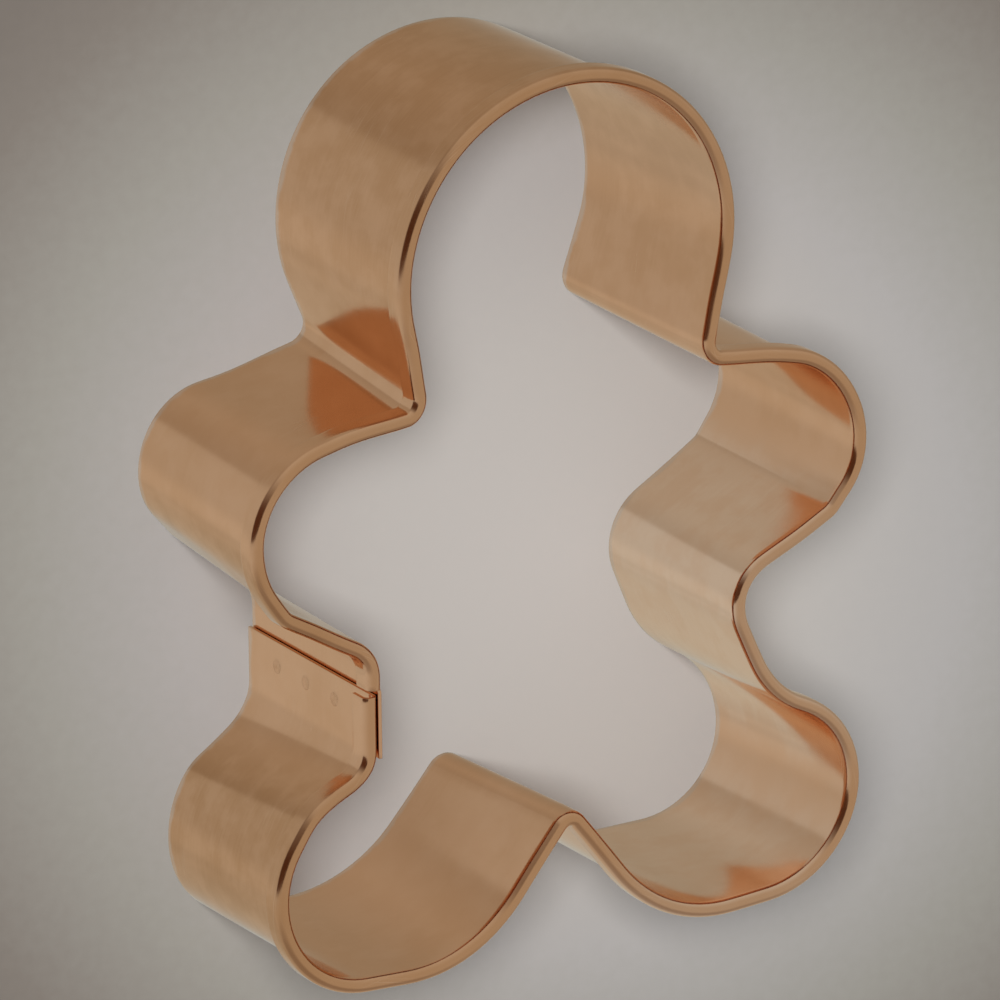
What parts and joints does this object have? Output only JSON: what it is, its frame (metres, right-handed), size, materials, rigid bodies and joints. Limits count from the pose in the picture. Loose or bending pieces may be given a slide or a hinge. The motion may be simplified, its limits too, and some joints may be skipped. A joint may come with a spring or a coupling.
{
  "type": "cookie cutter",
  "caption": "Cookie cutter in the shape of a plain gingerbread figure, bent from a copper-coloured metal strip with a rolled rim and a spot-welded lap at the waist.",
  "frame": {"origin": "middle of the figure's length and width, in the plane of the cutting edge", "axes": "+Y towards the head, +X towards the arm without the lap, +Z from the cutting edge up to the rolled rim"},
  "size_m": [0.071, 0.0914, 0.025],
  "materials": {
    "plated_strip": "copper-coloured plating on thin steel, soft sheen",
    "weld_spots": "spot weld marks, a little duller than the strip"
  },
  "bodies": {
    "root": {"cutter_band": "plated_strip", "spot_welds": "weld_spots"}
  },
  "joints": []
}
